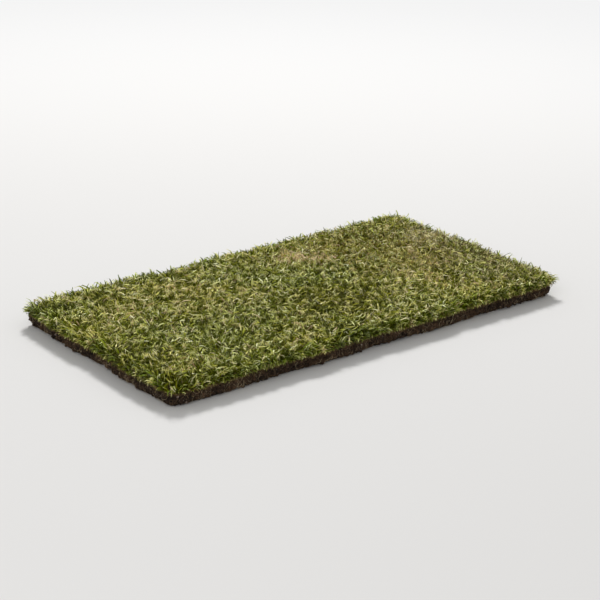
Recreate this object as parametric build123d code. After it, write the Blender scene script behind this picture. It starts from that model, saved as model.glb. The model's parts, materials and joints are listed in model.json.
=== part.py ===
from build123d import *
import os
from math import cos, pi, sin, tau

# A slab of laid turf: a mat of soil bound by roots, cut with a knife, and the mown grass on it.
# X runs along the slab, Y across it, and Z = 0 is the underside that lies on the ground.

# Driving dimensions, in millimetres
slab_length = 914.0        # one yard
slab_width = 457.0         # half a yard
mat_thickness = 24.0       # soil and roots, as the turf knife took them up
grass_height = 23.0        # mown: from the mat up to where the leaves close over, below the highest tips
corner_radius = 20.0       # the cut corners have crumbled round

# The knife's line along each side, and the soil that tore away from it
side_wander = 2.6          # how far the knife wandered to each side of straight
side_tear = 1.3            # how far small torn bites leave that line
bites_per_wave = 2.6       # torn bites along one wave of the knife
corner_calm = 5            # how soon both fade towards a corner: a higher power keeps them longer

# The cut side of the mat, set back from its widest line
underside_setback = 8.0    # soil lost from below the edge
rim_setback = 2.0          # soil lost from the rim, where the grass starts
belly_height = 14.0        # from the underside up to the widest line
slump_turn = 1.2           # by how much of a wave's angle the underside's waves lag the rim's

# The grass at the edge, which leans out over the cut and rounds over to the top
overhang = 7.0             # past the widest line of the mat
fringe_height = 10.0       # from the top of the mat up to the overhang
crown_setback = 16.0       # from the widest line to where the top begins
fringe_turn = 0.3          # by how much of a wave's angle the grass's waves lag the rim's

# The top of the grass follows the hollows of a slab that has been lifted and laid
crown_wave = 2.4           # height of its swells above and below the mean
long_swell = 520.0         # from one swell to the next along the slab
cross_swell = 330.0        # from one swell to the next across the slab
tuft_swell = 148.0         # the smaller swells of single tufts
tuft_share = 0.35          # their share of crown_wave

# Waves along each side as (number of waves, phase), in the order front, right, back, left
side_waves = [(3.5, 0.4), (1.8, 2.0), (4.1, 1.3), (2.2, 4.4)]

knots_per_bite = 4         # points that carry the curve through each bite
bands = 4                  # flat bands that make up each rounded stretch of the side
knots_per_tuft = 6         # points that carry the crown across each small swell


def cut_side(start, end, outward, waves, phase, turn):
    """One side of an outline: a curve that wanders, and settles before the corner at each end."""
    run = end - start
    bites = waves * bites_per_wave
    knots = round(bites * knots_per_bite)
    steps = [k / knots for k in range(knots + 1)]
    points = []
    for t in steps:
        settle = 1 - abs(2 * t - 1) ** corner_calm
        wander = side_wander * sin(tau * waves * t + phase - turn)
        tear = side_tear * sin(tau * bites * t + 2 * turn)
        points.append(start + run * t + outward * settle * (wander + tear))
    return Edge.make_spline(points, tangents=[run, run], parameters=steps)


def outline(height, setback, turn=0.0):
    """The slab's outline at a height, set back from the widest line, with its waves turned."""
    half_x = slab_length / 2 - setback
    half_y = slab_width / 2 - setback
    inner_x = half_x - corner_radius
    inner_y = half_y - corner_radius
    sides = [
        (Vector(-inner_x, -half_y), Vector(inner_x, -half_y), Vector(0, -1)),
        (Vector(half_x, -inner_y), Vector(half_x, inner_y), Vector(1, 0)),
        (Vector(inner_x, half_y), Vector(-inner_x, half_y), Vector(0, 1)),
        (Vector(-half_x, inner_y), Vector(-half_x, -inner_y), Vector(-1, 0)),
    ]
    edges = []
    for (start, end, outward), (waves, phase) in zip(sides, side_waves):
        edges.append(cut_side(start, end, outward, waves, phase, turn))
        edges.append(JernArc(end, end - start, corner_radius, 90))
    return Pos(0, 0, height) * make_face(edges)


def make_root_mat():
    """Soil bound by roots: flat below, slumped in under the belly, and cut back at the rim."""
    outlines = []
    for k in range(bands):
        angle = pi / 2 * k / bands
        slump = 1 - sin(angle)
        height = belly_height * (1 - cos(angle))
        outlines.append(outline(height, underside_setback * slump, slump_turn * (1 - height / mat_thickness)))
    outlines.append(outline(belly_height, 0, slump_turn * (1 - belly_height / mat_thickness)))
    outlines.append(outline(mat_thickness, rim_setback))
    return loft(outlines, ruled=True)


def crown_height(x, y):
    """Height above the underside at which the leaves close over."""
    swell = 0.6 * sin(tau * x / long_swell + 0.7) + 0.4 * cos(tau * y / cross_swell - 0.5)
    tufts = sin(tau * x / tuft_swell + 1.1) * sin(tau * y / tuft_swell + 0.3)
    wave = (1 - tuft_share) * swell + tuft_share * tufts
    return mat_thickness + grass_height + crown_wave * wave


def make_air():
    """The space over the grass: a block whose floor is the crown, with all its swells."""
    reach_x = slab_length / 2 + overhang + side_wander + side_tear + corner_radius
    reach_y = slab_width / 2 + overhang + side_wander + side_tear + corner_radius
    columns = round(2 * reach_x * knots_per_tuft / tuft_swell)
    rows = round(2 * reach_y * knots_per_tuft / tuft_swell)
    grid = []
    for i in range(columns + 1):
        x = reach_x * (2 * i / columns - 1)
        ys = [reach_y * (2 * j / rows - 1) for j in range(rows + 1)]
        grid.append([Vector(x, y, crown_height(x, y)) for y in ys])
    crown = Face.make_surface_from_array_of_points(grid)
    return extrude(crown, amount=grass_height + 2 * crown_wave, dir=(0, 0, 1))


def make_sward():
    """The mown grass as one solid: it starts at the rim, leans out, rounds over and is mown off."""
    fringe = mat_thickness + fringe_height
    top = mat_thickness + grass_height + 1.5 * crown_wave
    outlines = [outline(mat_thickness, rim_setback)]
    for k in range(1, bands):
        lean = sin(pi / 2 * k / bands)
        setback = rim_setback - (rim_setback + overhang) * lean
        outlines.append(outline(mat_thickness + fringe_height * k / bands, setback, fringe_turn * lean))
    for k in range(bands + 1):
        angle = pi / 2 * k / bands
        setback = (overhang + crown_setback) * (1 - cos(angle)) - overhang
        outlines.append(outline(fringe + (top - fringe) * sin(angle), setback, fringe_turn))
    return loft(outlines, ruled=True) - make_air()


root_mat = make_root_mat()
sward = make_sward()

# The origin is under the middle of the whole slab
middle = (root_mat + sward).bounding_box().center()
to_origin = Pos(-middle.X, -middle.Y, 0)

os.makedirs("parts", exist_ok=True)
export_step(to_origin * root_mat, "parts/root_mat.step")
export_step(to_origin * sward, "parts/sward.step")
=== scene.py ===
import json
import math
import random

import bmesh
import bpy
from mathutils import Matrix, Vector, noise
from mathutils.bvhtree import BVHTree

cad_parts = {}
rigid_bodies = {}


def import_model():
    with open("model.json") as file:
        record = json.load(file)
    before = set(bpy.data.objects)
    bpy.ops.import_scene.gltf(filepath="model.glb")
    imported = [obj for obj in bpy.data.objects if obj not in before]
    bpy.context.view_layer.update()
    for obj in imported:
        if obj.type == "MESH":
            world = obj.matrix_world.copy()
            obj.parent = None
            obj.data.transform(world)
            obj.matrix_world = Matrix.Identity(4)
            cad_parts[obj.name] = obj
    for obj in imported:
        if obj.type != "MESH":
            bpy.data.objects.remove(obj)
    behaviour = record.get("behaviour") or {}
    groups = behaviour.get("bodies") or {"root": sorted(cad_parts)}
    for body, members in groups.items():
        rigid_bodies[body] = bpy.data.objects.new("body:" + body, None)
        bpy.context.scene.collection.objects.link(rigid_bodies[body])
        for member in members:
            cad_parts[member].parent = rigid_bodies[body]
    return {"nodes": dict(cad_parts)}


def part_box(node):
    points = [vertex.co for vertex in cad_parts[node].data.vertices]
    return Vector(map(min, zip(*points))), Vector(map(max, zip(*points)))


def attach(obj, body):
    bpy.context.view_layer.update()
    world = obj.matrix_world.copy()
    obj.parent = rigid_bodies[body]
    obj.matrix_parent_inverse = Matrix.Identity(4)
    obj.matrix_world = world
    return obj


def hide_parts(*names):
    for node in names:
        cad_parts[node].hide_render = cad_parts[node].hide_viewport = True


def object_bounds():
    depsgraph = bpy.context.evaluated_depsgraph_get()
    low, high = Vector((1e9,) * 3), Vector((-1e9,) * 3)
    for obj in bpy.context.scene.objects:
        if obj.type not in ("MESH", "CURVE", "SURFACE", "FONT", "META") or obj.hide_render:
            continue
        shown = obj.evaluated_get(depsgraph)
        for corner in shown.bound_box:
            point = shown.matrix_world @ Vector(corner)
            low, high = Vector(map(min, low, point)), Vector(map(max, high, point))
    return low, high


# A slab of laid turf. Metres, in the frame's own place: X along the slab, Y across it, Z up.
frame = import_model()
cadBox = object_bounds()
matNode = frame["nodes"]["root_mat"]
swardNode = frame["nodes"]["sward"]
matLow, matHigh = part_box("root_mat")
print("frame loaded, box", [round(v, 4) for corner in cadBox for v in corner])


# Node helpers, for materials and for planting alike

class Wire:  # an output socket: sums and products with numbers or other wires add their own nodes
    def __init__(self, net, socket):
        self.net = net
        self.socket = socket

    def __getitem__(self, name):
        return self.net.output(self.socket.node, name)

    def __add__(self, other):
        return self.net.maths("ADD", self, other)

    def __radd__(self, other):
        return self.net.maths("ADD", other, self)

    def __sub__(self, other):
        return self.net.maths("SUBTRACT", self, other)

    def __rsub__(self, other):
        return self.net.maths("SUBTRACT", other, self)

    def __mul__(self, other):
        return self.net.maths("MULTIPLY", self, other)

    def __rmul__(self, other):
        return self.net.maths("MULTIPLY", other, self)

    def __truediv__(self, other):
        return self.net.maths("DIVIDE", self, other)


class Net:  # a node tree that is written as expressions
    def __init__(self, tree):
        self.tree = tree

    def output(self, node, name=None):
        for socket in node.outputs:
            if socket.enabled and name in (None, socket.name):
                return Wire(self, socket)

    def node(self, kind, settings={}, inputs={}, output=None):
        made = self.tree.nodes.new(kind)
        for key, value in settings.items():
            if key == "stops":
                self.setStops(made.color_ramp, value)
            else:
                setattr(made, key, value)
        for key, value in inputs.items():
            socket = made.inputs[key] if isinstance(key, int) else next(
                s for s in made.inputs if s.name == key and s.enabled)
            self.feed(socket, value)
        return self.output(made, output) if made.outputs else made

    def feed(self, socket, value):
        if isinstance(value, Wire):
            self.tree.links.new(value.socket, socket)
        else:
            socket.default_value = value

    def setStops(self, ramp, stops):
        while len(ramp.elements) < len(stops):
            ramp.elements.new(0.5)
        for element, (place, colour) in zip(ramp.elements, stops):
            element.position = place
            element.color = (*colour, 1)

    def maths(self, operation, *values):
        vectors = [v for v in values if isinstance(v, Wire) and v.socket.type == "VECTOR"]
        if vectors and operation == "MULTIPLY" and len(vectors) == 1:
            scale = values[0] if values[1] is vectors[0] else values[1]
            if not isinstance(scale, tuple):
                inputs = {0: vectors[0], "Scale": scale}
                return self.node("ShaderNodeVectorMath", {"operation": "SCALE"}, inputs)
        kind = "ShaderNodeVectorMath" if vectors else "ShaderNodeMath"
        return self.node(kind, {"operation": operation}, dict(enumerate(values)))

    def fade(self, value, low, high, atLow=0.0, atHigh=1.0):  # a smooth step between two values
        return self.node("ShaderNodeMapRange", {"interpolation_type": "SMOOTHSTEP"}, {
            "Value": value, "From Min": low, "From Max": high, "To Min": atLow, "To Max": atHigh})

    def noise(self, place, scale, detail=2.0, output="Fac"):
        inputs = {"Vector": place, "Scale": scale, "Detail": detail}
        return self.node("ShaderNodeTexNoise", {}, inputs, output)

    def cells(self, place, scale):  # how far it is to the middle of the nearest cell
        return self.node("ShaderNodeTexVoronoi", {}, {"Vector": place, "Scale": scale}, "Distance")

    def part(self, vector, axis):
        return self.node("ShaderNodeSeparateXYZ", {}, {"Vector": vector}, axis)

    def join(self, x=0.0, y=0.0, z=0.0):
        return self.node("ShaderNodeCombineXYZ", {}, {"X": x, "Y": y, "Z": z})

    def length(self, vector):
        return self.node("ShaderNodeVectorMath", {"operation": "LENGTH"}, {0: vector}, "Value")

    def blend(self, factor, first, second, mode="MIX"):  # of two colours
        return self.node("ShaderNodeMix", {"data_type": "RGBA", "blend_type": mode},
                         {"Factor": factor, "A": first, "B": second})

    def ramp(self, value, stops):
        return self.node("ShaderNodeValToRGB", {"stops": stops}, {"Fac": value}, "Color")


def srgb(red, green, blue):  # a colour written as 0 to 255, as the linear value that shaders take
    shares = [v / 255 for v in (red, green, blue)]
    return tuple(v / 12.92 if v < 0.0404 else ((v + 0.055) / 1.055) ** 2.4 for v in shares)


# Camera: it looks down across the slab from the front left, a little tilted

viewpoint = {
    "place": Vector((-1.964, -2.327, 1.2)),      # from the middle of the slab
    "up": Vector((0.188, 0.2743, 0.943)),
    "aim": Vector((0.0, -0.004, 0.02)),
    "focal": 104.0,                              # millimetres, on a frame 36 mm wide
}


def placeCamera():
    data = bpy.data.cameras.new("camera")
    data.lens = viewpoint["focal"]
    data.sensor_width = 36.0
    camera = bpy.data.objects.new("camera", data)
    bpy.context.scene.collection.objects.link(camera)
    back = (viewpoint["place"] - viewpoint["aim"]).normalized()
    right = viewpoint["up"].cross(back).normalized()
    up = back.cross(right)
    turn = Matrix((right, up, back)).transposed().to_4x4()
    camera.matrix_world = Matrix.Translation(viewpoint["place"]) @ turn
    bpy.context.scene.camera = camera


placeCamera()
print("camera placed")


# Light and floor

studio = {
    "world": 0.44,
    "backdrop": 0.90,            # as seen: the world, and the floor far from the slab
    "floorColour": (0.725, 0.717, 0.705),
    "floorFades": (0.9, 3.2),    # metres from the middle, from lit floor to plain backdrop
    "lamps": [  # place, size, watts: the main one shines from behind on the right
        ((3.2, 4.4, 5.6), 1.4, 500.0),
        ((-2.6, -1.4, 2.2), 2.6, 26.0),
    ],
}


def seenRays(net):
    rays = net.node("ShaderNodeLightPath")
    mirrored = net.maths("MAXIMUM", rays["Is Glossy Ray"], rays["Is Transmission Ray"])
    return net.maths("MAXIMUM", rays["Is Camera Ray"], mirrored)


def lightStudio():
    scene = bpy.context.scene
    scene.view_settings.view_transform = "Standard"
    world = bpy.data.worlds.new("studio")
    world.use_nodes = True
    scene.world = world
    net = Net(world.node_tree)
    background = world.node_tree.nodes["Background"]
    background.inputs["Color"].default_value = (1, 1, 1, 1)
    seen = seenRays(net)
    net.feed(background.inputs["Strength"], seen * studio["backdrop"] + (1 - seen) * studio["world"])
    for place, size, watts in studio["lamps"]:
        data = bpy.data.lights.new("lamp", "AREA")
        data.size = size
        data.energy = watts
        lamp = bpy.data.objects.new("lamp", data)
        lamp.location = place
        lamp.rotation_euler = (-Vector(place)).to_track_quat("-Z", "Y").to_euler()
        scene.collection.objects.link(lamp)


def layFloor():
    shape = bmesh.new()
    bmesh.ops.create_grid(shape, x_segments=1, y_segments=1, size=14.0)
    mesh = bpy.data.meshes.new("floor")
    shape.to_mesh(mesh)
    shape.free()
    floor = bpy.data.objects.new("floor", mesh)
    bpy.context.scene.collection.objects.link(floor)
    material = bpy.data.materials.new("paleFloor")
    material.use_nodes = True
    net = Net(material.node_tree)
    shader = material.node_tree.nodes["Principled BSDF"]
    shader.inputs["Base Color"].default_value = (*studio["floorColour"], 1)
    shader.inputs["Roughness"].default_value = 0.9
    shader.inputs["Specular IOR Level"].default_value = 0.0
    away = net.length(net.node("ShaderNodeTexCoord", output="Object"))
    plain = net.node("ShaderNodeEmission", {}, {"Color": (1, 1, 1, 1), "Strength": studio["backdrop"]})
    mixed = net.node("ShaderNodeMixShader", {}, {
        0: net.fade(away, *studio["floorFades"]) * seenRays(net), 1: net.output(shader), 2: plain})
    net.feed(material.node_tree.nodes["Material Output"].inputs["Surface"], mixed)
    mesh.materials.append(material)


lightStudio()
layFloor()
print("studio lit")


# Shared steps for pieces

def newPiece(name, mesh, material=None):
    piece = bpy.data.objects.new(name, mesh)
    bpy.context.scene.collection.objects.link(piece)
    if material:
        mesh.materials.clear()
        mesh.materials.append(material)
    return piece


def settle(piece):  # its modifiers become its mesh
    shown = piece.evaluated_get(bpy.context.evaluated_depsgraph_get())
    mesh = bpy.data.meshes.new_from_object(shown)
    piece.modifiers.clear()
    piece.data = mesh
    mesh.name = piece.name
    return piece


def newGeometryTree(name):  # geometry nodes, from the group's input on
    tree = bpy.data.node_groups.new(name, "GeometryNodeTree")
    tree.interface.new_socket("Geometry", in_out="INPUT", socket_type="NodeSocketGeometry")
    tree.interface.new_socket("Geometry", in_out="OUTPUT", socket_type="NodeSocketGeometry")
    net = Net(tree)
    return net, net.node("NodeGroupInput")


def applyTree(piece, net, result):
    net.feed(net.tree.nodes.new("NodeGroupOutput").inputs[0], result)
    piece.modifiers.new(net.tree.name, "NODES").node_group = net.tree
    settle(piece)


def triangles(piece):
    return sum(len(face.vertices) - 2 for face in piece.data.polygons)


def finishPiece(piece, node):
    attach(piece, "root")
    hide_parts(node)
    print(piece.name, triangles(piece), "triangles")


def newMaterial(name):
    material = bpy.data.materials.new(name)
    material.use_nodes = True
    return material, Net(material.node_tree), material.node_tree.nodes["Principled BSDF"]


# The seedbed: the top face of the root mat, as one flat face with the slab's own outline

mergeWithin = 1e-5


def makeBed():
    shape = bmesh.new()
    shape.from_mesh(matNode.data)
    bmesh.ops.remove_doubles(shape, verts=shape.verts, dist=mergeWithin)
    top = [f for f in shape.faces if f.normal.z > 0.99 and f.calc_center_median().z > matHigh.z - 1e-4]
    rest = [f for f in shape.faces if f not in set(top)]
    bmesh.ops.delete(shape, geom=rest, context="FACES")
    inner = [e for e in shape.edges if len(e.link_faces) == 2]
    bmesh.ops.dissolve_edges(shape, edges=inner, use_verts=False)
    mesh = bpy.data.meshes.new("bed")
    shape.to_mesh(mesh)
    shape.free()
    return mesh


bedMesh = makeBed()
bedArea = sum(face.area for face in bedMesh.polygons)
print("bed", len(bedMesh.polygons), "faces", round(bedArea, 4), "square metres")


# Soil: the mat's own shape, broken up into crumbs on its cut sides

soilPlan = {
    "voxel": 0.0026,          # halved on the cut sides
    "band": 0.013,            # width of the rim that stays fine
    "clod": 0.0130,           # height of the broken lumps
    "crumb": 0.0058,
    "grain": 0.0024,
    "pit": 0.0062,            # depth where lumps have dropped out
    "clodScale": 70.0,        # clods to the metre
    "crumbScale": 150.0,
    "grainScale": 340.0,
    "pitScale": 48.0,
    "pitted": (0.57, 0.68),   # of the pits' noise: from here on they sink, and from there they are deep
    "cellMiddle": 0.36,       # crumbs push out inside this distance from their middles
    "steep": (0.55, 0.90),    # from a cut side's normal to a flat part's
    "under": 0.34,            # how much of all this the sliced underside keeps
    "kept": (("top", 0.10), ("under", 0.585)),  # of all faces, as each flat part in turn is thinned
    "lowest": 0.0004,         # the roots below it lie on the ground
}


def inwards(place):  # how far in from the mat's widest line
    return min(place.x - matLow.x, matHigh.x - place.x, place.y - matLow.y, matHigh.y - place.y)


def meshSoil():  # the mat as small even faces, and smaller ones on its cut sides
    shape = bmesh.new()
    shape.from_mesh(matNode.data)
    bmesh.ops.remove_doubles(shape, verts=shape.verts, dist=mergeWithin)
    mesh = bpy.data.meshes.new("soil")
    shape.to_mesh(mesh)
    shape.free()
    piece = newPiece("soil", mesh)
    remesh = piece.modifiers.new("remesh", "REMESH")
    remesh.mode = "VOXEL"
    remesh.voxel_size = soilPlan["voxel"]
    remesh.use_smooth_shade = True
    settle(piece)

    shape = bmesh.new()
    shape.from_mesh(piece.data)
    steep = [face for face in shape.faces if abs(face.normal.z) < 0.8]
    sides = [face for face in steep if inwards(face.calc_center_median()) < soilPlan["band"]]
    cut = {edge for face in sides for edge in face.edges}
    bmesh.ops.subdivide_edges(shape, edges=list(cut), cuts=1, use_grid_fill=True, smooth=0.0)
    shape.to_mesh(piece.data)
    shape.free()
    return piece


def breakSoil(piece):  # clods, crumbs and grains push out, and pits sink in
    net, whole = newGeometryTree("breaking")
    place = net.node("GeometryNodeInputPosition")
    normal = net.node("GeometryNodeInputNormal")
    facing = net.maths("ABSOLUTE", net.part(normal, "Z"))
    side = net.fade(facing, *soilPlan["steep"], 1.0, soilPlan["under"])
    clod = net.noise(place, soilPlan["clodScale"], 2.0) - 0.5
    crumb = soilPlan["cellMiddle"] - net.cells(place, soilPlan["crumbScale"])
    grain = soilPlan["cellMiddle"] - net.cells(place, soilPlan["grainScale"])
    pit = net.fade(net.noise(place + (3.0, 1.0, 0.0), soilPlan["pitScale"], 3.0), *soilPlan["pitted"])
    push = clod * soilPlan["clod"] + crumb * soilPlan["crumb"]
    push = push + grain * soilPlan["grain"] - pit * soilPlan["pit"]
    moved = place + normal * (push * side)
    moved = net.maths("MAXIMUM", moved, (-1.0, -1.0, 0.0))
    moved = net.maths("MINIMUM", moved, (1.0, 1.0, matHigh.z))
    broken = net.node("GeometryNodeSetPosition", {}, {"Geometry": whole, "Position": moved})
    applyTree(piece, net, broken)


def thinSoil(piece):  # the flat parts need fewer faces, and the top, which the grass covers, hardly any
    for part, kept in soilPlan["kept"]:
        flat = piece.vertex_groups.new(name=part)
        inner = [vert for vert in piece.data.vertices if inwards(vert.co) > 1.6 * soilPlan["band"]]
        chosen = [vert.index for vert in inner if (vert.co.z > matHigh.z / 2) == (part == "top")]
        flat.add(chosen, 1.0, "REPLACE")
        thin = piece.modifiers.new("thin", "DECIMATE")
        thin.ratio = kept
        thin.vertex_group = part
        settle(piece)
        piece.vertex_groups.clear()


def makeSoil(material):
    piece = meshSoil()
    breakSoil(piece)
    thinSoil(piece)
    for vert in piece.data.vertices:
        vert.co.z = max(vert.co.z, soilPlan["lowest"])
    piece.data.materials.clear()
    piece.data.materials.append(material)
    finishPiece(piece, "root_mat")
    return piece


soilLook = {
    "earth": [
        (0.30, srgb(34, 24, 17)), (0.47, srgb(60, 44, 32)),
        (0.60, srgb(92, 70, 51)), (0.78, srgb(132, 108, 86)),
    ],
    "patchScale": 26.0,            # all scales are in features to the metre
    "patchShare": 0.62,            # of the earth's colour: the rest follows the grain
    "grainScale": 420.0,
    "fineScale": 620.0,
    "lumpTones": (0.80, 1.34),     # of the darkest crumbs and the palest
    # how far the painted shade in the creases between crumbs darkens the colour
    "creaseTone": 0.62,
    "grit": srgb(150, 130, 116),
    "gritScale": 300.0,
    "gritSize": (0.12, 0.26),      # in each cell: solid up to here, gone from there on
    "gritRarity": (0.80, 0.84),
    "gritShare": 0.8,              # how much of its colour shows
    "hair": srgb(150, 126, 94),
    "hairScale": 330.0,
    "hairStretch": (1.0, 1.0, 0.16),
    "hairWidth": (0.003, 0.014),
    "hairShare": (0.1, 0.4),       # on dark patches and on pale ones
    "web": srgb(172, 146, 110),
    "webScale": 70.0,
    "webWidth": (0.002, 0.010),
    "webShare": 0.8,
    "webPatchScale": 33.0,
    "webReach": (0.001, 0.003),    # it fades out between these heights
    "fibre": [(0.36, srgb(52, 40, 26)), (0.50, srgb(104, 82, 52)), (0.66, srgb(158, 132, 90))],
    "fibreScale": 240.0,
    "fibreStretch": (1.0, 1.0, 3.2),
    "fibreShare": 0.85,
    "thatch": (0.008, 0.001),      # fibres begin this far below the top of the mat, and here they cover it
    "raggedness": 0.008,           # of the line where they begin
    "bump": 0.0022,
}


def thinLines(net, place, scale, detail, width, strength=1.0):  # where a noise crosses its middle
    offset = net.maths("ABSOLUTE", net.noise(place, scale, detail) - 0.5)
    return net.fade(offset, *width, strength, 0.0)


def makeSoilMaterial():
    material, net, shader = newMaterial("moistSoil")
    place = net.node("ShaderNodeTexCoord", output="Object")
    patch = net.noise(place, soilLook["patchScale"], 4.0)
    grain = net.noise(place, soilLook["grainScale"], 3.0)
    earth = patch * soilLook["patchShare"] + grain * (1 - soilLook["patchShare"])
    colour = net.ramp(earth, soilLook["earth"])

    # crumbs differ in tone, and painted shade darkens the creases between them
    lumps = net.cells(place, soilPlan["crumbScale"])
    cast = net.part(lumps["Color"], "Y")
    paintedCreaseShade = net.fade(lumps, 0.30, 0.62, 1.0, soilLook["creaseTone"])
    crumbToneAndCreaseShade = net.fade(cast, 0.0, 1.0, *soilLook["lumpTones"]) * paintedCreaseShade
    colour = net.blend(1.0, colour, net.join(crumbToneAndCreaseShade, crumbToneAndCreaseShade, crumbToneAndCreaseShade), "MULTIPLY")

    # grit, a pinkish grey
    speck = net.cells(place, soilLook["gritScale"])
    chance = net.part(speck["Color"], "X")
    grit = net.fade(speck, *soilLook["gritSize"], 1.0, 0.0) * net.fade(chance, *soilLook["gritRarity"])
    colour = net.blend(grit * soilLook["gritShare"], colour, (*soilLook["grit"], 1))

    # hair roots drawn out downwards, and those that were sliced off underneath
    hairPlace = place * soilLook["hairStretch"]
    hair = thinLines(net, hairPlace, soilLook["hairScale"], 2.0, soilLook["hairWidth"])
    shown = hair * net.fade(patch, 0.42, 0.6, *soilLook["hairShare"])
    colour = net.blend(shown, colour, (*soilLook["hair"], 1))
    level = net.part(place, "Z")
    web = thinLines(net, place, soilLook["webScale"], 4.0, soilLook["webWidth"], soilLook["webShare"])
    web = web * net.fade(net.noise(place, soilLook["webPatchScale"], 2.0), 0.40, 0.54)
    web = web * net.fade(level, *soilLook["webReach"], 1.0, 0.0)
    colour = net.blend(web, colour, (*soilLook["web"], 1))

    # dead fibres along the top of the mat
    height = level + (net.noise(place, 90.0, 2.0) - 0.5) * soilLook["raggedness"]
    thatch = net.fade(height, *[matHigh.z - below for below in soilLook["thatch"]])
    fibre = net.noise(place * soilLook["fibreStretch"], soilLook["fibreScale"], 3.0)
    colour = net.blend(thatch * soilLook["fibreShare"], colour, net.ramp(fibre, soilLook["fibre"]))

    net.feed(shader.inputs["Base Color"], colour)
    net.feed(shader.inputs["Roughness"], net.fade(patch, 0.35, 0.6, 0.80, 0.97))
    shader.inputs["Specular IOR Level"].default_value = 0.2
    fine = 1 - net.cells(place, soilLook["fineScale"])
    relief = grain + fine * 0.8 + grit * 0.4 + hair * 0.2 - lumps * 0.8
    bump = net.node("ShaderNodeBump", {}, {"Height": relief, "Strength": 1.0, "Distance": soilLook["bump"]})
    net.feed(shader.inputs["Normal"], bump)
    return material


soil = makeSoil(makeSoilMaterial())
soilTree = BVHTree.FromObject(soil, bpy.context.evaluated_depsgraph_get())


# Small things on the cut sides: clods, pebbles, roots and cut runners

def outlineSpots(count, pick):  # random places along the bed's outline, each with its outward direction
    verts = bedMesh.vertices
    edges = [(verts[e.vertices[0]].co, verts[e.vertices[1]].co) for e in bedMesh.edges]
    chosen = pick.choices(edges, weights=[(b - a).length for a, b in edges], k=count)
    spots = []
    for a, b in chosen:
        place = a.lerp(b, pick.random())
        outward = (b - a).cross(Vector((0, 0, 1))).normalized()
        if outward.dot(place) < 0:
            outward.negate()
        spots.append((place, outward))
    return spots


def sideSpots(count, lowest, highest, pick):  # random places on the cut sides, each with its normal
    found = []
    for place, outward in outlineSpots(count, pick):
        start = Vector((place.x, place.y, pick.uniform(lowest, highest))) + outward * 0.05
        hit, normal = soilTree.ray_cast(start, -outward)[:2]
        if hit:
            found.append((hit, normal, outward))
    return found


def makeLump(plan, pick):  # an uneven ball
    ball = bmesh.new()
    bmesh.ops.create_uvsphere(ball, u_segments=plan["sides"], v_segments=plan["rings"], radius=1.0)
    salt = Vector([pick.uniform(-50, 50) for axis in "xyz"])
    for vert in ball.verts:
        bulge = noise.noise(vert.co * 1.4 + salt) + 0.5 * noise.noise(vert.co * 3.4 + salt)
        vert.co *= 1 + plan["rough"] * bulge
    return ball


def scatterLumps(name, plan, material, seed):  # lumps sunk into the cut
    pick = random.Random(seed)
    mesh = bpy.data.meshes.new(name)
    whole = bmesh.new()
    for hit, normal, outward in sideSpots(plan["count"], *plan["heights"], pick):
        small, large = plan["size"]
        size = small + (large - small) * pick.random() ** plan["rarity"]
        ball = makeLump(plan, pick)
        centre = hit - normal * size * pick.uniform(*plan["sunk"])
        centre.z = max(centre.z, size * 0.7)
        spin = Matrix.Rotation(pick.uniform(0, math.tau), 4, "Z")
        tilt = Matrix.Rotation(pick.uniform(*plan["tilt"]), 4, "X")
        stretch = [pick.uniform(*span) for span in plan["stretch"]]
        sized = Matrix.Diagonal((*stretch, 1)) @ Matrix.Scale(size, 4)
        ball.transform(Matrix.Translation(centre) @ spin @ tilt @ sized)
        ball.to_mesh(mesh)
        ball.free()
        whole.from_mesh(mesh)
    for vert in whole.verts:
        vert.co.z = max(vert.co.z, 0.0)
    for face in whole.faces:
        face.smooth = plan["smooth"]
    whole.to_mesh(mesh)
    whole.free()
    finishPiece(newPiece(name, mesh, material), "root_mat")


def drawStems(name, lines, material, roundness):  # along lines of points and radii, closed at both ends
    curve = bpy.data.curves.new(name, "CURVE")
    curve.dimensions = "3D"
    curve.bevel_depth = 1.0
    curve.bevel_resolution = roundness
    curve.use_fill_caps = True
    for line in lines:
        spline = curve.splines.new("POLY")
        spline.points.add(len(line) - 1)
        for point, (place, radius) in zip(spline.points, line):
            point.co = (*place, 1)
            point.radius = radius
        spline.use_smooth = True
    drawn = bpy.data.objects.new(name, curve)
    mesh = bpy.data.meshes.new_from_object(drawn)
    bpy.data.objects.remove(drawn)
    mesh.name = name
    finishPiece(newPiece(name, mesh, material), "root_mat")


rootPlan = {
    "count": 1150,                 # on the cut sides
    "under": 400,
    "heights": (0.006, 0.0225),
    "length": (0.006, 0.030),
    "thick": (0.00010, 0.00028),   # radius
    "taper": 0.6,
    "steps": 7,
    "wander": 0.8,
    "drop": 0.75,
    "buried": 0.0005,              # how deep a root starts
    "loose": 0.0018,               # how far it stands off the soil
    "pale": (206, 188, 152),
    "dark": (128, 100, 68),
    "stainScale": 60.0,
}


def underSpots(count, pick):  # random places on the underside, each with its normal and a level direction
    found = []
    for k in range(count):
        start = Vector((pick.uniform(matLow.x, matHigh.x), pick.uniform(matLow.y, matHigh.y), -0.05))
        hit, normal = soilTree.ray_cast(start, Vector((0, 0, 1)))[:2]
        turn = pick.uniform(0, math.tau)
        if hit and hit.z < 0.004:
            found.append((hit, normal, Vector((math.cos(turn), math.sin(turn), 0))))
    return found


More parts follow.
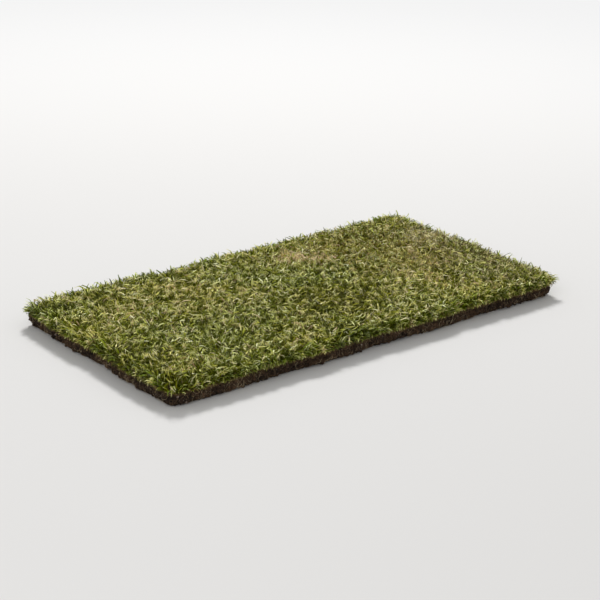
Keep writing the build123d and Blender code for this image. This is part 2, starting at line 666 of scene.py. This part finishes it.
def growRoots(name, plan, material, seed):  # hair roots that hang over the cut or were sliced off below
    pick = random.Random(seed)
    up = Vector((0, 0, 1))
    spots = [(hit, normal, outward.cross(up), -up)
             for hit, normal, outward in sideSpots(plan["count"], *plan["heights"], pick)]
    spots += [(hit, normal, level.cross(up), level)
              for hit, normal, level in underSpots(plan["under"], pick)]
    lines = []
    for hit, normal, along, down in spots:
        length = pick.uniform(*plan["length"])
        step = length / plan["steps"]
        thick = pick.uniform(*plan["thick"])
        heading = (along * pick.uniform(-1, 1) + down * plan["drop"]).normalized()
        place = hit - normal * plan["buried"]
        line = [(place.copy(), thick)]
        for k in range(plan["steps"]):
            bend = along * pick.uniform(-1, 1) + down * pick.uniform(-0.7, 1)
            heading = (heading + bend * plan["wander"]).normalized()
            near, facing = soilTree.find_nearest(place + heading * step)[:2]
            place = near + facing * pick.uniform(-0.1, 1.0) * plan["loose"]
            place.z = max(place.z, thick)
            line.append((place.copy(), thick * (1 - plan["taper"] * (k + 1) / plan["steps"])))
        lines.append(line)
    drawStems(name, lines, material, 0)


runnerPlan = {
    "count": 150,
    "heights": (0.0140, 0.0265),
    "thick": (0.0003, 0.0007),    # radius
    "inside": (0.006, 0.03),      # how far each reaches into the slab
    "beyond": (0.0005, 0.0045),   # and out past the cut
    "slant": (-0.7, 0.7),         # to the side, for each metre outwards
    "sway": (-0.006, 0.006),      # its wave to the side
    "swayTurn": 90.0,             # radians to the metre
    "ripple": 0.0012,             # its wave up and down
    "rippleTurn": 160.0,
    "droop": (-0.1, 0.5),         # past the cut, for each metre
    "knot": 0.0105,               # from one joint of the stem to the next
    "knotSwell": 0.35,
    "knotSharpness": 6,
    "steps": 7,
    "pale": (142, 122, 80),
    "dark": (84, 64, 42),
    "stainScale": 45.0,
}


def growRunners(name, plan, material, seed):  # creeping stems, cut through at the sides
    pick = random.Random(seed)
    lines = []
    for place, outward in outlineSpots(plan["count"], pick):
        along = outward.cross(Vector((0, 0, 1)))
        height = pick.uniform(*plan["heights"])
        thick = pick.uniform(*plan["thick"])
        inside = pick.uniform(*plan["inside"])
        beyond = pick.uniform(*plan["beyond"])
        slant = pick.uniform(*plan["slant"])
        sway = pick.uniform(*plan["sway"])
        droop = pick.uniform(*plan["droop"])
        shift = pick.random()
        line = []
        for k in range(plan["steps"] + 1):
            reach = -inside + (inside + beyond) * k / plan["steps"]
            knot = max(0.0, math.cos(math.tau * (reach / plan["knot"] + shift)))
            swell = 1 + plan["knotSwell"] * knot ** plan["knotSharpness"]
            aside = slant * reach + sway * math.sin(reach * plan["swayTurn"])
            ripple = plan["ripple"] * math.sin(reach * plan["rippleTurn"] + shift * 6)
            point = place + outward * reach + along * aside
            point.z = height - droop * max(reach, 0.0) + ripple
            line.append((point, thick * swell))
        lines.append(line)
    drawStems(name, lines, material, 1)


def makeGrainyMaterial(name, plan):  # from pale to dark in stains, with a fine dark grain
    material, net, shader = newMaterial(name)
    place = net.node("ShaderNodeTexCoord", output="Object")
    stain = net.fade(net.noise(place, plan["stainScale"], 3.0), 0.36, 0.64)
    colour = net.blend(stain, (*srgb(*plan["pale"]), 1), (*srgb(*plan["dark"]), 1))
    grain = net.noise(place, 900.0, 2.0)
    darker = srgb(*(0.6 * v for v in plan["dark"]))
    colour = net.blend(net.fade(grain, 0.5, 0.75, 0.0, 0.5), colour, (*darker, 1))
    net.feed(shader.inputs["Base Color"], colour)
    net.feed(shader.inputs["Roughness"], net.fade(grain, 0.3, 0.7, 0.55, 0.85))
    bump = net.node("ShaderNodeBump", {}, {"Height": grain, "Strength": 0.4, "Distance": 0.0003})
    net.feed(shader.inputs["Normal"], bump)
    return material


clodPlan = {
    "count": 1350,
    "heights": (0.0010, 0.022),
    "size": (0.0010, 0.0046),   # radius
    "rarity": 2.6,              # the higher, the fewer large ones
    "sides": 6,
    "rings": 4,
    "rough": 0.6,
    "stretch": ((0.8, 1.3), (0.7, 1.1), (0.6, 1.0)),
    "sunk": (0.1, 0.55),        # of the radius
    "tilt": (-0.7, 0.7),
    "smooth": False,
}
pebblePlan = {
    "count": 34,
    "heights": (0.003, 0.019),
    "size": (0.0011, 0.0030),
    "rarity": 1.6,
    "sides": 8,
    "rings": 5,
    "rough": 0.25,
    "stretch": ((0.8, 1.3), (0.7, 1.1), (0.5, 1.0)),
    "sunk": (0.1, 0.55),
    "tilt": (-0.7, 0.7),
    "smooth": True,
    "pale": (156, 140, 128),
    "dark": (112, 96, 88),
    "stainScale": 160.0,
}

pebbleStone = makeGrainyMaterial("pebbleStone", pebblePlan)
paleRoot = makeGrainyMaterial("paleRoot", rootPlan)
creepingStem = makeGrainyMaterial("creepingStem", runnerPlan)
scatterLumps("clods", clodPlan, soil.data.materials[0], 5)
scatterLumps("pebbles", pebblePlan, pebbleStone, 6)
growRoots("rootHairs", rootPlan, paleRoot, 7)
growRunners("runners", runnerPlan, creepingStem, 8)


# Grass blades: each family has a few bent strips, and every planted blade is a turned copy of one

bladeShape = {
    "slimness": 0.075,     # a typical blade's width over its height
    "foot": 0.75,          # its width at the foot, over the width that it is given
    "belly": 1.2,          # how much it widens towards its middle
    "pointed": 0.2,        # a blade less blunt than this ends in a point
    "bendSteps": 24,
}


def makeBlade(name, pieces, arch, flop, twist, blunt):
    shape = bmesh.new()
    bmesh.ops.create_grid(shape, x_segments=1, y_segments=pieces, size=0.5)
    along = shape.verts.layers.float.new("along")
    steps = bladeShape["bendSteps"]
    for vert in shape.verts:
        t = vert.co.y + 0.5
        wide = (bladeShape["foot"] + bladeShape["belly"] * t * (1 - t)) * (1 - (1 - blunt) * t ** 3)
        side = vert.co.x * wide
        x = z = 0.0
        for k in range(steps):  # the middle line bows by arch, and its end droops by flop
            s = (k + 0.5) / steps * t
            angle = arch * (s - 0.5) + flop * s ** 3
            x += math.sin(angle) * t / steps
            z += math.cos(angle) * t / steps
        turn = twist * t
        vert.co = (x - math.sin(turn) * side * bladeShape["slimness"], math.cos(turn) * side, z)
        vert[along] = t
    if blunt < bladeShape["pointed"]:
        tips = sorted(shape.verts, key=lambda v: v[along])[-2:]
        bmesh.ops.pointmerge(shape, verts=tips, merge_co=(tips[0].co + tips[1].co) / 2)
    tall = max(v.co.z for v in shape.verts)
    bmesh.ops.scale(shape, verts=shape.verts, vec=(1 / tall, 1, 1 / tall))
    for face in shape.faces:
        face.smooth = True
    mesh = bpy.data.meshes.new(name)
    shape.to_mesh(mesh)
    shape.free()
    return mesh


def bladeSet(name, family, seed):
    pick = random.Random(seed)
    holder = bpy.data.collections.new(name)
    for k in range(family["variants"]):
        mesh = makeBlade(
            f"{name}{k}",
            pieces=family["pieces"],
            arch=pick.uniform(*family["arch"]),
            flop=pick.uniform(*family["flop"]),
            twist=pick.uniform(-1, 1) * family["twist"],
            blunt=pick.uniform(*family["blunt"]),
        )
        holder.objects.link(bpy.data.objects.new(mesh.name, mesh))
    return holder


# Tone shifts that this slab shows, as x, y, radius and shift
toneSpots = [
    (0.10, 0.145, 0.040, 0.26),    # a bleached patch
    (0.14, 0.110, 0.038, 0.20),
    (0.41, 0.09, 0.070, 0.14),
    (0.45, -0.02, 0.260, 0.06),    # drier towards this end
    (0.03, -0.08, 0.130, -0.25),   # deep green hollow
    (-0.44, -0.08, 0.090, -0.15),
    (-0.07, -0.20, 0.080, -0.12),
]

# Kinds of leaf, and what each does to its colours: cool and warm ones grow everywhere, the rest in stains
leafKinds = [
    ("MULTIPLY", (0.98, 1.05, 1.00), 1.0),         # 0, cool
    ("MULTIPLY", (1.04, 1.02, 0.92), 1.0),         # 1, warm
    ("MIX", srgb(244, 208, 176), 0.60),            # 2, pinkish straw
    ("MIX", srgb(240, 228, 200), 0.50),            # 3, pale straw
    ("MIX", srgb(150, 134, 104), 0.55),            # 4, grey brown
    ("MIX", srgb(160, 132, 62), 0.50),             # 5, tan
]

# Where leaves are stained, as x, y, radius, the share of them and their kind
stains = [
    (0.10, 0.145, 0.046, 0.55, 2),
    (0.41, 0.09, 0.080, 0.50, 3),
    (0.44, -0.04, 0.240, 0.40, 4),
    (0.28, 0.10, 0.220, 0.35, 5),
    (0.145, 0.108, 0.044, 0.42, 2),
]

# Where the grass is thin, as x, y, radius and the share that is missing
thinSpots = [
    (-0.435, -0.218, 0.040, 0.75),
    (-0.375, -0.224, 0.030, 0.65),
    (0.205, -0.226, 0.022, 0.50),
    (0.447, 0.060, 0.026, 0.50),
    (-0.150, 0.226, 0.024, 0.55),
    (-0.452, 0.120, 0.022, 0.50),
]


# How the growth varies from place to place: each noise's features to the metre, and stretches of its values
growth = {
    "tuftScale": 75.0,           # thick and thin
    "combScale": 30.0,           # which way it leans
    # tall tufts also get paler leaves, as painted sunlight
    "topScale": 95.0,            # tall and pale tufts
    "patchScale": 5.5,           # tone
    "spotScale": 22.0,
    "driftScale": 5.0,           # cool and warm leaves
    "driftGrain": 70.0,
    "raggedScale": 60.0,         # the outlines of stains
    "raggedReach": 0.04,
    "thinToThick": (0.38, 0.56),
    "shortToTall": (0.38, 0.56),
    # over this span of the tuft noise, leaves go from painted shade to painted sunlight
    "darkToPale": (0.50, 0.66),
    "coolToWarm": (0.40, 0.60),
    "paleShare": 0.25,
    "foot": (0.0, 0.0, 0.0004),  # blades are measured from just above the mat
    "tipReach": 0.004,           # the highest tips, above the slab's box
    "bandEdge": 0.03,            # of a kind's band in the colour map, left free at either end
}


def distance(net, level, x, y):
    return net.length(level - (x, y, 0.0))


def shareKept(net, family, place, fromRim):  # tufts stand close together, with thin ground between them
    tuft = net.noise(place, growth["tuftScale"], 3.0)
    keep = net.fade(tuft, *growth["thinToThick"], family["thinnest"], 1.0)
    if "rimOnly" in family:
        keep = keep * net.fade(fromRim, 0.3 * family["rimOnly"], family["rimOnly"], 1.0, 0.0)
    level = place * (1.0, 1.0, 0.0)
    for x, y, radius, missing in thinSpots:
        keep = keep * net.fade(distance(net, level, x, y), 0.4 * radius, radius, 1 - missing, 1.0)
    return keep


def leanOf(net, family, rand, place, toRim, fromRim):  # with the tuft, at random, and outwards at the rim
    comb = net.noise(place, growth["combScale"], 2.0, "Color")
    comb = net.node("ShaderNodeVectorMath", {"operation": "MULTIPLY_ADD"},
                    {0: comb, 1: (2.0, 2.0, 0.0), 2: (-1.0, -1.0, 0.0)})
    turn = rand(0.0, 2 * math.pi, 1)
    level = net.join(net.maths("COSINE", turn), net.maths("SINE", turn))
    lean = comb * family["comb"] + level * rand(*family["lean"], 2)
    outwards = net.fade(fromRim, 0.0, family["rimReach"], 1.0, 0.0)
    return lean + toRim * (outwards * rand(*family["rimLean"], 3))


def toneOf(net, family, rand, top, tuftTop):  # from deep green at 0 to bleached straw at 1
    patch = net.noise(top, growth["patchScale"], 2.0) - 0.5
    spot = net.noise(top, growth["spotScale"], 2.0) - 0.5
    # pale straw flecks are set on the tall tufts as painted sunlight, and darker leaves on the low ones as
    # painted shade
    fleck = net.fade(tuftTop, *growth["darkToPale"]) - growth["paleShare"]
    tone = family["tone"] + patch * family["patch"] + spot * family["spot"] + fleck * family["fleck"]
    tone = tone + (rand(0.0, 1.0, 5) + rand(0.0, 1.0, 6) - 1.0) * family["mix"]
    for x, y, radius, shift in toneSpots:
        tone = tone + net.fade(distance(net, top, x, y), 0.3 * radius, radius, shift, 0.0)
    return net.node("ShaderNodeClamp", {}, {"Value": tone, "Min": 0.01, "Max": 0.99})


def kindOf(net, rand, top):  # cool or warm in drifts, and stained in places
    grain = net.noise(top, growth["driftGrain"], 1.0)
    drift = net.noise(top, growth["driftScale"], 2.0) * 0.65 + grain * 0.35
    kind = net.maths("LESS_THAN", rand(0.0, 1.0, 12), net.fade(drift, *growth["coolToWarm"]))
    ragged = (net.noise(top, growth["raggedScale"], 2.0) - 0.5) * growth["raggedReach"]
    for k, (x, y, radius, share, stain) in enumerate(stains):
        chance = net.fade(distance(net, top, x, y) + ragged, 0.3 * radius, radius, share, 0.0)
        stained = net.maths("LESS_THAN", rand(0.0, 1.0, 13 + k), chance)
        kind = kind + stained * (stain - kind)
    return kind


def turnOf(net, family, rand, way, lean):  # its flat side faces up, and it droops the way that it leans
    upright = net.node("FunctionNodeAlignRotationToVector", {"axis": "Z"}, {"Vector": way})
    faced = net.node("FunctionNodeAlignRotationToVector", {"axis": "X", "pivot_axis": "Z"},
                     {"Rotation": upright, "Vector": lean})
    swing = net.node("FunctionNodeAxisAngleToRotation", {},
                     {"Axis": (0.0, 0.0, 1.0), "Angle": rand(-family["swing"], family["swing"], 7)})
    return net.node("FunctionNodeRotateRotation", {"rotation_space": "LOCAL"},
                    {"Rotation": faced, "Rotate By": swing})


def colourPlace(net):  # the tone across, and a band for each kind, with the way up the blade inside it
    tone, kind, along = [
        net.node("GeometryNodeInputNamedAttribute", {"data_type": "FLOAT"}, {"Name": label}, "Attribute")
        for label in ("tone", "kind", "along")]
    inBand = growth["bandEdge"] + along * (1 - 2 * growth["bandEdge"])
    return net.join(tone, (kind + inBand) / float(len(leafKinds)))


def plantGrass(name, family, seed, material):
    net, bed = newGeometryTree(name)
    blades = bladeSet(name, family, seed)

    def rand(low, high, salt):
        return net.node("FunctionNodeRandomValue", {"data_type": "FLOAT"},
                        {"Min": low, "Max": high, "Seed": seed * 50 + salt})

    place = net.node("GeometryNodeInputPosition")
    rim = net.node("GeometryNodeProximity", {"target_element": "EDGES"},
                   {"Geometry": bed, "Sample Position": place})
    toRim = net.maths("NORMALIZE", rim["Position"] - place)
    fromRim = rim["Distance"]
    bare = net.maths("GREATER_THAN", rand(0.0, 1.0, 0), shareKept(net, family, place, fromRim))
    points = net.node("GeometryNodeDistributePointsOnFaces", {"distribute_method": "RANDOM"},
                      {"Mesh": bed, "Density": family["count"] / bedArea, "Seed": seed})
    points = net.node("GeometryNodeDeleteGeometry", {"domain": "POINT"},
                      {"Geometry": points, "Selection": bare})
    lean = leanOf(net, family, rand, place, toRim, fromRim)
    way = net.maths("NORMALIZE", lean + (0.0, 0.0, 1.0))

    # each blade is mown off where it meets the sward's own surface
    envelope = net.node("GeometryNodeObjectInfo", {}, {"Object": swardNode}, "Geometry")

    def cast(start, direction):
        return net.node("GeometryNodeRaycast", {}, {
            "Target Geometry": envelope, "Source Position": start, "Ray Direction": direction,
            "Ray Length": 0.2})["Hit Distance"]

    if "lift" in family:  # loose clippings start high in the grass
        over = cast(place + growth["foot"], (0.0, 0.0, 1.0)) * rand(*family["lift"], 11)
        points = net.node("GeometryNodeSetPosition", {}, {"Geometry": points, "Offset": net.join(z=over)})
    reach = net.maths("MINIMUM", cast(place + growth["foot"], way), family["longest"])
    top = (place + way * reach) * (1.0, 1.0, 0.0)  # tufts and flecks hold together where they are seen
    # the same noise sets how tall a tuft stands and how pale its leaves are, as painted sunlight and shade
    tuftTop = net.noise(top, growth["topScale"], 2.0)
    tall = net.fade(tuftTop, *growth["shortToTall"], family["lowest"], 1.0)
    length = reach * tall * rand(*family["height"], 4) + rand(*family["proud"], 10)
    if "shortest" in family:
        length = net.maths("MAXIMUM", length, rand(*family["shortest"], 30))
    scale = net.join(length, rand(*family["width"], 8), length)

    marks = [("tone", toneOf(net, family, rand, top, tuftTop)), ("kind", kindOf(net, rand, top))]
    for label, value in marks:
        points = net.node("GeometryNodeStoreNamedAttribute", {"data_type": "FLOAT", "domain": "POINT"},
                          {"Geometry": points, "Name": label, "Value": value})
    variants = net.node("GeometryNodeCollectionInfo", {}, {
        "Collection": blades, "Separate Children": True, "Reset Children": True})
    which = net.node("FunctionNodeRandomValue", {"data_type": "INT"},
                     {"Min": 0, "Max": family["variants"] - 1, "Seed": seed * 50 + 9})
    planted = net.node("GeometryNodeInstanceOnPoints", {}, {
        "Points": points, "Instance": variants, "Pick Instance": True, "Instance Index": which,
        "Rotation": turnOf(net, family, rand, way, lean), "Scale": scale})
    grass = net.node("GeometryNodeRealizeInstances", {}, {"Geometry": planted})
    grass = net.node("GeometryNodeStoreNamedAttribute", {"data_type": "FLOAT2", "domain": "CORNER"},
                     {"Geometry": grass, "Name": "OFBake", "Value": colourPlace(net)})

    # nothing stands out past the sides of the slab's box
    low, high = cadBox
    inside = net.maths("MAXIMUM", place, tuple(low))
    inside = net.maths("MINIMUM", inside, (high[0], high[1], high[2] + growth["tipReach"]))
    grass = net.node("GeometryNodeSetPosition", {}, {"Geometry": grass, "Position": inside})

    piece = newPiece(name, bedMesh.copy())
    applyTree(piece, net, grass)
    piece.data.materials.clear()
    piece.data.materials.append(material)
    for variant in list(blades.objects):
        bpy.data.objects.remove(variant)
    bpy.data.collections.remove(blades)
    for spare in ("tone", "kind", "along"):
        if spare in piece.data.attributes:
            piece.data.attributes.remove(piece.data.attributes[spare])
    finishPiece(piece, "sward")


# root is each blade's colour at its foot: its own yellowing there, with painted shade deep in the sward
leafColours = {
    "fresh": {
        "stops": [
            (0.00, srgb(64, 68, 0)), (0.20, srgb(88, 100, 0)), (0.38, srgb(117, 133, 4)),
            (0.52, srgb(160, 168, 44)), (0.68, srgb(234, 232, 144)), (0.84, srgb(252, 248, 204)),
            (1.00, srgb(232, 206, 164)),
        ],
        "root": srgb(98, 102, 18), "tip": srgb(252, 246, 180),
    },
    "yellowed": {
        "stops": [
            (0.00, srgb(74, 71, 0)), (0.20, srgb(99, 102, 0)), (0.38, srgb(129, 136, 0)),
            (0.52, srgb(172, 172, 38)), (0.68, srgb(238, 232, 140)), (0.84, srgb(254, 247, 204)),
            (1.00, srgb(234, 208, 164)),
        ],
        "root": srgb(104, 98, 14), "tip": srgb(254, 246, 178),
    },
    "dead": {
        "stops": [
            (0.00, srgb(70, 78, 0)), (0.25, srgb(116, 122, 6)), (0.45, srgb(184, 184, 66)),
            (0.62, srgb(240, 236, 152)), (0.78, srgb(254, 249, 208)), (0.90, srgb(238, 220, 182)),
            (1.00, srgb(176, 144, 110)),
        ],
        "root": srgb(110, 102, 24), "tip": srgb(252, 245, 194),
    },
    "rotten": {
        "stops": [
            (0.00, srgb(52, 46, 20)), (0.30, srgb(84, 74, 34)), (0.55, srgb(124, 106, 58)),
            (0.75, srgb(166, 144, 92)), (0.92, srgb(210, 190, 140)), (1.00, srgb(120, 88, 62)),
        ],
        "root": srgb(62, 48, 30), "tip": srgb(186, 166, 112),
    },
}
leafLook = {
    "rooted": (0.0, 0.45, 0.7, 0.0),      # up the blade from foot to here, the root colour's share at both
    "tipped": (0.66, 1.0),                # where the tip's colour comes in
    "bleached": (0.25, 0.6, 0.1, 0.8),    # between these tones, the tip colour's share at both
    "roughness": (0.3, 0.8, 0.5, 0.8),
    "shine": 0.08,
}


def makeLeafMaterial(name):
    colours = leafColours[name]
    material, net, shader = newMaterial(name + "Leaf")
    spread = net.node("ShaderNodeUVMap", {"uv_map": "OFBake"})
    tone = net.part(spread, "X")
    bands = net.part(spread, "Y") * float(len(leafKinds))
    kind = net.maths("FLOOR", bands)
    up = bands - kind
    colour = net.ramp(tone, colours["stops"])
    # towards its foot a blade turns to its root colour: its own yellowing, and painted shade deep in the
    # sward
    colour = net.blend(net.fade(up, *leafLook["rooted"]), colour, (*colours["root"], 1))
    bleached = net.fade(up, *leafLook["tipped"]) * net.fade(tone, *leafLook["bleached"])
    colour = net.blend(bleached, colour, (*colours["tip"], 1))
    for k, (mode, tint, share) in enumerate(leafKinds):
        colour = net.blend(net.maths("COMPARE", kind, float(k), 0.5) * share, colour, (*tint, 1), mode)
    net.feed(shader.inputs["Base Color"], colour)
    net.feed(shader.inputs["Roughness"], net.fade(tone, *leafLook["roughness"]))
    shader.inputs["Specular IOR Level"].default_value = leafLook["shine"]
    return material


# What a family's values set:
# - shape, of the few variants that its blades are copied from: pieces, arch, flop, twist and blunt
# - size: height and lowest are shares of the way to the surface, the others are metres
# - place: rimOnly keeps it near the cut, thinnest is what is left between tufts, lift raises loose blades
# - lean: comb with the tuft, lean at random, rimLean outwards within rimReach of the cut, swing on its stem
# - colour: tone, how far it varies by patch, spot and fleck (paler on tall tufts and darker on low ones, as
#   painted sunlight and shade), and from blade to blade by mix
families = {
    "grassUnder": {  # short shaded leaves
        "count": 33000, "variants": 8, "pieces": 2,
        "arch": (0.0, 0.8), "flop": (0.0, 1.0), "twist": 1.2, "blunt": (0.0, 0.5), "proud": (0.0, 0.0),
        "width": (0.0020, 0.0036), "height": (0.4, 0.8), "longest": 0.026, "lowest": 0.8, "thinnest": 0.6,
        "comb": 0.5, "lean": (0.3, 1.7), "rimReach": 0.02, "rimLean": (0.0, 1.0), "swing": 0.9,
        "tone": 0.34, "patch": 0.3, "spot": 0.3, "fleck": 0.3, "mix": 0.30,
    },
    "grassTop": {
        "count": 46000, "variants": 16, "pieces": 3,
        "arch": (0.1, 0.9), "flop": (0.0, 1.2), "twist": 1.8, "blunt": (0.0, 0.55), "proud": (-0.001, 0.0022),
        "width": (0.0020, 0.0037), "height": (0.86, 1.0), "longest": 0.040, "lowest": 0.70, "thinnest": 0.2,
        "comb": 0.4, "lean": (0.0, 0.65), "rimReach": 0.024, "rimLean": (0.2, 1.3), "swing": 0.9,
        "tone": 0.24, "patch": 0.50, "spot": 0.30, "fleck": 0.85, "mix": 0.18,
    },
    "grassDry": {  # bleached leaves
        "count": 37000, "variants": 12, "pieces": 3,
        "arch": (0.2, 1.6), "flop": (0.0, 1.8), "twist": 2.4, "blunt": (0.0, 0.4), "proud": (-0.001, 0.0024),
        "width": (0.0016, 0.0031), "height": (0.84, 1.0), "longest": 0.040, "lowest": 0.74, "thinnest": 0.2,
        "comb": 0.5, "lean": (0.1, 1.1), "rimReach": 0.024, "rimLean": (0.2, 1.4), "swing": 1.2,
        "tone": 0.42, "patch": 0.46, "spot": 0.30, "fleck": 0.80, "mix": 0.20,
    },
    "thatch": {  # dead leaves that the cut has laid bare
        "count": 330000, "rimOnly": 0.007, "variants": 10, "pieces": 3,
        "arch": (0.0, 1.2), "flop": (0.6, 3.0), "twist": 2.0, "blunt": (0.0, 0.6), "proud": (0.0, 0.0),
        "width": (0.0010, 0.0020), "height": (0.5, 1.3), "longest": 0.018, "lowest": 0.8, "thinnest": 0.3,
        "comb": 0.6, "lean": (0.1, 1.6), "rimReach": 0.012, "rimLean": (1.5, 7.0), "swing": 0.8,
        "tone": 0.52, "patch": 0.3, "spot": 0.3, "fleck": 0.3, "mix": 0.50,
    },
    "clippings": {  # bleached cuttings that lie on the grass
        "count": 2900, "variants": 12, "pieces": 3, "lift": (0.60, 0.92), "shortest": (0.007, 0.015),
        "arch": (0.0, 1.4), "flop": (0.0, 1.4), "twist": 2.4, "blunt": (0.2, 1.0), "proud": (0.0, 0.002),
        "width": (0.0015, 0.0028), "height": (0.35, 0.9), "longest": 0.024, "lowest": 0.9, "thinnest": 0.6,
        "comb": 0.6, "lean": (2.5, 9.0), "rimReach": 0.02, "rimLean": (-1.0, 1.0), "swing": 3.1,
        "tone": 0.62, "patch": 0.2, "spot": 0.2, "fleck": 0.3, "mix": 0.26,
    },
    "grassFringe": {  # leaves that hang out over the cut
        "count": 120000, "rimOnly": 0.012, "variants": 12, "pieces": 4,
        "arch": (0.0, 0.6), "flop": (0.8, 2.4), "twist": 1.2, "blunt": (0.0, 0.5), "proud": (0.0, 0.002),
        "width": (0.0016, 0.0031), "height": (0.9, 1.3), "longest": 0.028, "lowest": 0.8, "thinnest": 0.4,
        "comb": 0.4, "lean": (0.1, 0.9), "rimReach": 0.012, "rimLean": (0.8, 3.0), "swing": 0.5,
        "tone": 0.36, "patch": 0.35, "spot": 0.35, "fleck": 0.50, "mix": 0.30,
    },
}

fresh, yellowed, dead, rotten = [makeLeafMaterial(name) for name in leafColours]
plantGrass("grassUnder", families["grassUnder"], 3, yellowed)
plantGrass("thatch", families["thatch"], 5, rotten)
plantGrass("grassTop1", families["grassTop"], 11, fresh)
plantGrass("grassTop2", families["grassTop"], 12, yellowed)
plantGrass("grassDry", families["grassDry"], 21, dead)
plantGrass("clippings", families["clippings"], 25, dead)
plantGrass("grassFringe", families["grassFringe"], 31, fresh)
